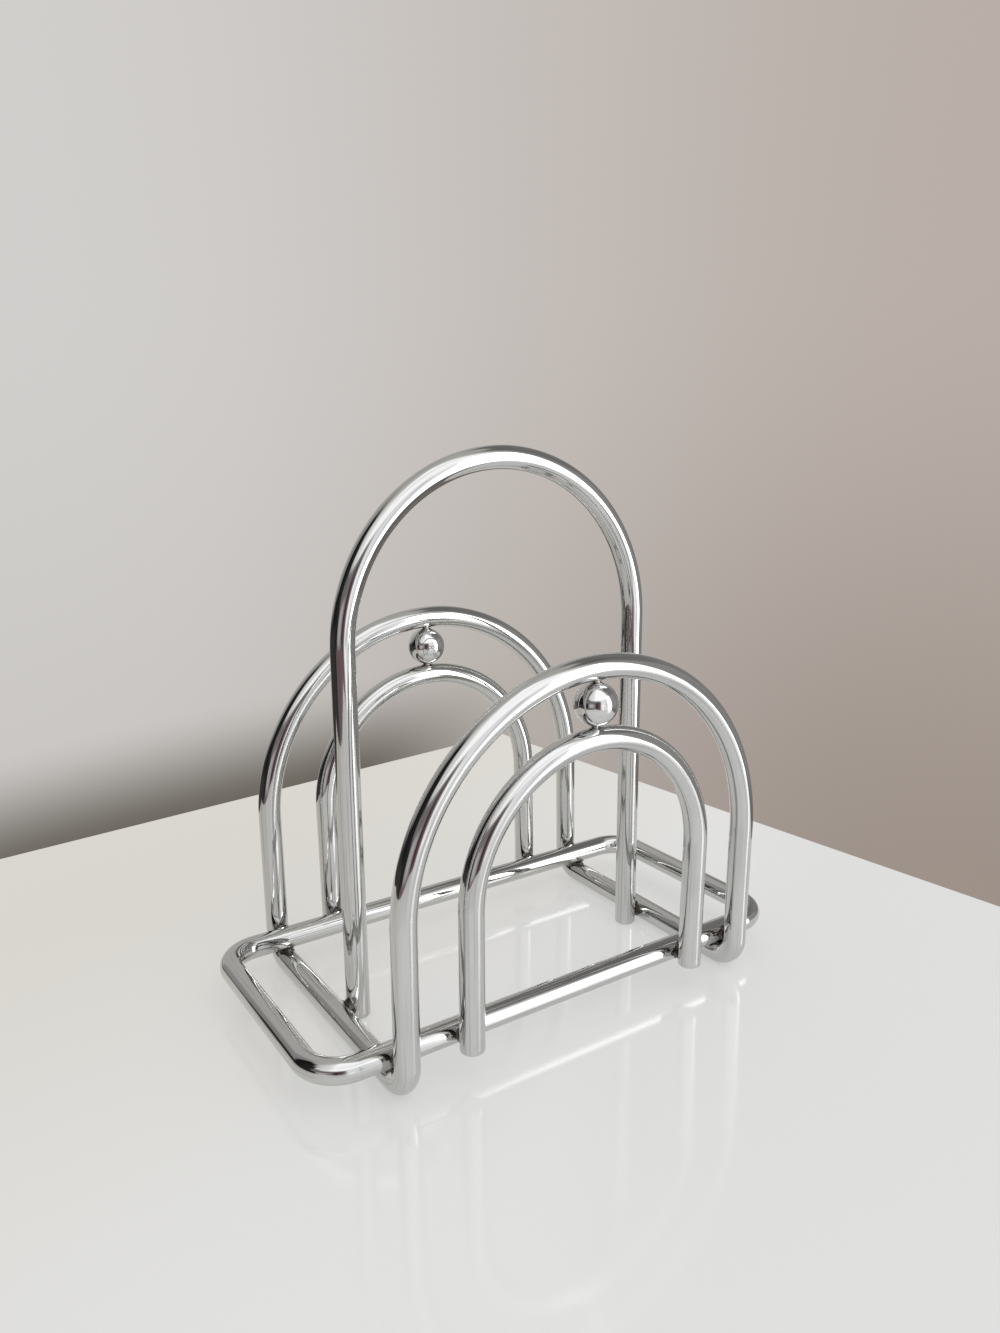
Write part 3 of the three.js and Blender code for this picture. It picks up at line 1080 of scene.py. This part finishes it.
# What the metal mirrors past the table, each over the ones before it. A card's six numbers are in
# degrees: middle azimuth from +X anticlockwise, half width, side softness, height above the horizon,
# half height, level softness. Its colour comes last.
ROOM_CARDS = (
    # the dim right side of the room, with a darker top
    (0, 36, 8, 22, 37, 6, (0.28, 0.268, 0.26)),
    (-24, 10, 14, 20, 28, 12, (0.36, 0.35, 0.345)),
    (5, 43, 6, 42, 10, 12, (0.23, 0.225, 0.22)),
    (4, 34, 10, 56, 2, 8, (0.19, 0.187, 0.183)),
    # the window wall over the camera, which fades to the left
    (-115, 21, 74, 62, 34, 14, (1.12, 1.12, 1.11)),
    (-94, 37, 13, 60, 28, 7, (1.46, 1.47, 1.48)),
    # the brightest strip of it, and the paler part beside it
    (-82, 18, 4, 4, 20, 5, (1.12, 1.13, 1.16)),
    (-92, 3, 4, -5, 9, 6, (1.45, 1.4, 1.42)),
    (-75, 1.5, 2, 10, 13, 4, (0.8, 0.81, 0.83)),
    (-80, 12, 4, -9, 0.8, 1.5, (0.85, 0.85, 0.86)),
    (-54, 6, 7, 4, 25, 10, (6.2, 6.25, 6.3)),
    # the dark doorway on the left
    (130, 10, 10, 15, 38, 14, (0.34, 0.335, 0.33)),
    (156, 14, 9, 21, 31, 11, (0.012, 0.0115, 0.012)),
    (172, 12, 6, 14, 22, 20, (0.02, 0.019, 0.02)),
    (-176, 11, 10, 5, 16, 14, (0.025, 0.023, 0.025)),
    (136, 28, 14, -12, 8, 7, (0.05, 0.048, 0.046)),
    (134.5, 8.5, 2.5, 3, 4, 6, (0.03, 0.029, 0.029)),
    # a darker piece low on the left, wine-red at its right end
    (-136, 22, 12, 5, 16, 9, (0.3, 0.28, 0.28)),
    (-151, 4, 14, 3, 6, 9, (0.6, 0.575, 0.58)),
    (-140, 32, 10, 17, 2, 9, (0.24, 0.22, 0.22)),
    (-119, 6, 10, 2, 13, 8, (0.12, 0.09, 0.1)),
    (-124, 2, 5, 3, 8, 6, (0.085, 0.028, 0.04)),
    (-146, 26, 10, -13, 1.5, 5, (0.2, 0.13, 0.14)),
)


# The plain room behind the cards: its wall, which pales towards the top, and its floor, with the
# heights in degrees between which one passes to the other
ROOM_WALL = (0.54, 0.53, 0.51, 1)
ROOM_TOP = (0.62, 0.62, 0.61, 1)
ROOM_TOP_EDGE = (60.0, 90.0)
ROOM_FLOOR = (0.2, 0.185, 0.17, 1)
ROOM_FLOOR_EDGE = (-21.0, -9.0)


def build_room(maker, direction):
    """The colours that the metal mirrors: a plain wall over a darker floor, and the cards over both."""
    parts = maker.add("ShaderNodeSeparateXYZ", {"Vector": direction}).outputs
    height = maker.maths("DEGREES", maker.maths("ARCSINE", parts["Z"]))
    azimuth = maker.maths("DEGREES", maker.maths("ARCTAN2", parts["Y"], parts["X"]))
    wall = maker.mix_colours(maker.ramp(height, *ROOM_TOP_EDGE), ROOM_WALL, ROOM_TOP)
    room = maker.mix_colours(maker.ramp(height, *ROOM_FLOOR_EDGE), ROOM_FLOOR, wall)
    for *numbers, tone in ROOM_CARDS:
        card = dict(zip(CARD_SOCKETS, (azimuth, height, *numbers)))
        room = maker.mix_colours(maker.group(card_group(), card)["Mask"], room, (*tone, 1))
    return room


# The backdrop, over directions given by three numbers: rise is upwards, aside to the camera's left
# and ahead along its heading. An edge gives where a change begins and ends.
BACKDROP_EDGE = (-0.45, 0.45)
DIM_TINT = (0.7, 0.67, 0.64, 1)
DIM_RISE = (-0.5, 0.15)
DIM_ASIDE = (-0.35, 0.3)
DIM_RIGHT = 1.1
DIM_LEFT = 0.35
SHADE_TINT = (0.265, 0.25, 0.22, 1)
SHADE_HEIGHT = (-0.01, 0.09)
SHADE_ASIDE = (-0.05, 0.15)
SHADE_AHEAD = (0.55, 0.75)
SHADE_RISE = (-0.6, -0.42)
# The table's rear edge, as it is seen: its rise falls by the slope with each step aside
EDGE_SLOPE = 0.138
EDGE_DROP = 0.302


def build_backdrop(maker, direction, left, right):
    """The plain wall that the camera sees: it passes from one colour to the other from left to right,
    is dimmer low down, most of all on the right, and falls into shade behind the table on the left."""
    rise = maker.add("ShaderNodeSeparateXYZ", {"Vector": direction}).outputs["Z"]
    aside = maker.vector("DOT_PRODUCT", direction, (-math.cos(CAMERA_HEADING), math.sin(CAMERA_HEADING), 0))
    ahead = maker.vector("DOT_PRODUCT", direction, (math.sin(CAMERA_HEADING), math.cos(CAMERA_HEADING), 0))
    plain = maker.mix_colours(maker.ramp(aside, *BACKDROP_EDGE), (*right, 1), (*left, 1))
    sideways = maker.ramp(aside, *DIM_ASIDE, DIM_RIGHT, DIM_LEFT)
    low = maker.maths("MULTIPLY", maker.ramp(rise, *DIM_RISE, 1.0, 0.0), sideways)
    dimmed = maker.mix_colours(low, plain, maker.mix_colours(1.0, plain, DIM_TINT, "MULTIPLY"))
    over_edge = maker.maths("ADD", maker.maths("MULTIPLY_ADD", aside, EDGE_SLOPE, EDGE_DROP), rise)
    beside = maker.maths("MULTIPLY", maker.ramp(aside, *SHADE_ASIDE), maker.ramp(ahead, *SHADE_AHEAD))
    behind = maker.maths("MULTIPLY", beside, maker.ramp(rise, *SHADE_RISE))
    shade = maker.maths("MULTIPLY", maker.ramp(over_edge, *SHADE_HEIGHT, 1.0, 0.0), behind)
    shaded = maker.mix_colours(1.0, dimmed, SHADE_TINT, "MULTIPLY")
    return maker.mix_colours(shade, dimmed, shaded)


class HOLDER_OT_stage(Operator):
    """Sets the pale table, the plain backdrop, the soft light and the camera"""

    bl_idname = "holder.stage"
    bl_label = "Stage"

    def execute(self, context):
        self.make_table(context.scene)
        self.make_world(context.scene)
        self.make_lamps(context.scene)
        self.make_camera(context.scene)
        context.scene.view_settings.view_transform = "Standard"
        return {"FINISHED"}

    def make_table(self, scene):
        """The table's top, at the height on which the runners lie."""
        corners = [
            (TABLE_LEFT, TABLE_FRONT, 0),
            (TABLE_RIGHT, TABLE_FRONT, 0),
            (TABLE_RIGHT, TABLE_REAR, 0),
            (TABLE_LEFT, TABLE_REAR, 0),
        ]
        mesh = bpy.data.meshes.new("table")
        mesh.from_pydata(corners, [], [(0, 1, 2, 3)])
        mesh.transform(Matrix.Rotation(TABLE_TURN, 4, "Z"))
        table = bpy.data.objects.new("table", mesh)
        scene.collection.objects.link(table)
        mesh.materials.append(self.table_material(scene.holder_stage))

    def table_material(self, look):
        """A pale polished top, darker and warmer towards the back as painted shade and a painted
        reflection of the backdrop. Part of its paleness is given off evenly to the camera and to the
        metal, which softens the shade under the holder."""
        material, maker, shader = new_material("plain_table")
        position = maker.add("ShaderNodeTexCoord").outputs["Object"]
        depth = maker.vector("DOT_PRODUCT", position, TABLE_DEPTH_AXIS)
        # Painted shade and painted reflection: the colour passes to the darker, warmer rear
        painted_rear_shade = maker.ramp(depth, TABLE_PAINTED_SHADE_FROM, TABLE_PAINTED_SHADE_TO)
        tone = maker.mix_colours(painted_rear_shade, (*look.table_colour, 1), (*look.table_rear_painted_shade, 1))
        rays = maker.add("ShaderNodeLightPath").outputs
        seen = maker.maths("MAXIMUM", rays["Is Camera Ray"], rays["Is Glossy Ray"])
        even = maker.maths("MULTIPLY", seen, TABLE_LIGHT * (1 - look.table_shading))
        shaded = maker.mix_colours(look.table_shading, (0, 0, 0, 1), tone)
        maker.fill(shader, {
            "Base Color": shaded,
            "Emission Color": maker.mix_colours(even, (0, 0, 0, 1), tone),
            "Emission Strength": 1.0,
            "Roughness": TABLE_ROUGHNESS,
        })
        return material

    def make_world(self, scene):
        """Even light for matt surfaces, a plain colour for the camera and the room for the metal."""
        look = scene.holder_stage
        world = bpy.data.worlds.new("plain_studio")
        world.use_nodes = True
        tree = world.node_tree
        tree.nodes.clear()
        maker = NodeMaker(tree)
        direction = maker.add("ShaderNodeTexCoord").outputs["Generated"]
        rays = maker.add("ShaderNodeLightPath").outputs
        room = build_room(maker, direction)
        even = (look.world_strength,) * 3 + (1,)
        mirrored = maker.mix_colours(rays["Is Glossy Ray"], even, room)
        backdrop = build_backdrop(maker, direction, look.backdrop_left, look.backdrop_right)
        seen = maker.mix_colours(rays["Is Camera Ray"], mirrored, backdrop)
        background = maker.add("ShaderNodeBackground", {"Color": seen, "Strength": 1.0})
        output = maker.add("ShaderNodeOutputWorld")
        tree.links.new(background.outputs[0], output.inputs["Surface"])
        scene.world = world

    def make_lamps(self, scene):
        """One broad soft lamp, which the metal doesn't mirror."""
        data = bpy.data.lights.new("soft_window", "AREA")
        data.shape = "RECTANGLE"
        data.size = LAMP_WIDTH
        data.size_y = LAMP_DEPTH
        data.energy = LAMP_POWER
        data.color = LAMP_COLOUR
        lamp = bpy.data.objects.new("soft_window", data)
        scene.collection.objects.link(lamp)
        lamp.location = LAMP_PLACE
        lamp.rotation_euler = (-lamp.location).to_track_quat("-Z", "Y").to_euler()
        lamp.visible_glossy = False

    def make_camera(self, scene):
        """The camera, turned to its heading, then dipped and rolled."""
        data = bpy.data.cameras.new("camera")
        data.sensor_width = CAMERA_SENSOR
        data.lens = CAMERA_LENS
        data.clip_start = CAMERA_NEAR
        camera = bpy.data.objects.new("camera", data)
        scene.collection.objects.link(camera)
        heading = Matrix.Rotation(-CAMERA_HEADING, 4, "Z")
        dip = Matrix.Rotation(math.pi / 2 - CAMERA_DIP, 4, "X")
        roll = Matrix.Rotation(CAMERA_ROLL, 4, "Z")
        camera.matrix_world = Matrix.Translation(CAMERA_PLACE) @ heading @ dip @ roll
        scene.camera = camera


STEPS = (
    HOLDER_OT_stage,
    HOLDER_OT_base_ring,
    HOLDER_OT_outer_frame,
    HOLDER_OT_inner_arches,
    HOLDER_OT_handle,
    HOLDER_OT_balls,
    HOLDER_OT_crossing_welds,
    HOLDER_OT_ball_necks,
)


class HOLDER_PT_panel(Panel):
    """Lists the pieces of the letter holder in the sidebar"""

    bl_idname = "HOLDER_PT_panel"
    bl_label = "Letter Holder"
    bl_space_type = "VIEW_3D"
    bl_region_type = "UI"
    bl_category = "Letter Holder"

    def draw(self, context):
        for step in STEPS:
            self.layout.operator(step.bl_idname)


GROUPS = {
    "holder_wires": HolderWires,
    "holder_welds": HolderWelds,
    "holder_finish": HolderFinish,
    "holder_stage": HolderStage,
}


def register():
    """Adds the property groups, the steps and the panel to Blender."""
    for cls in (*GROUPS.values(), *STEPS, HOLDER_PT_panel):
        bpy.utils.register_class(cls)
    for name, group in GROUPS.items():
        setattr(bpy.types.Scene, name, PointerProperty(type=group))


def unregister():
    """Takes them out again, in the opposite order."""
    for name in GROUPS:
        delattr(bpy.types.Scene, name)
    for cls in reversed((*GROUPS.values(), *STEPS, HOLDER_PT_panel)):
        bpy.utils.unregister_class(cls)


def main():
    """Makes every piece in order."""
    register()
    for step in STEPS:
        category, name = step.bl_idname.split(".")
        getattr(getattr(bpy.ops, category), name)()


if __name__ == "__main__":
    main()
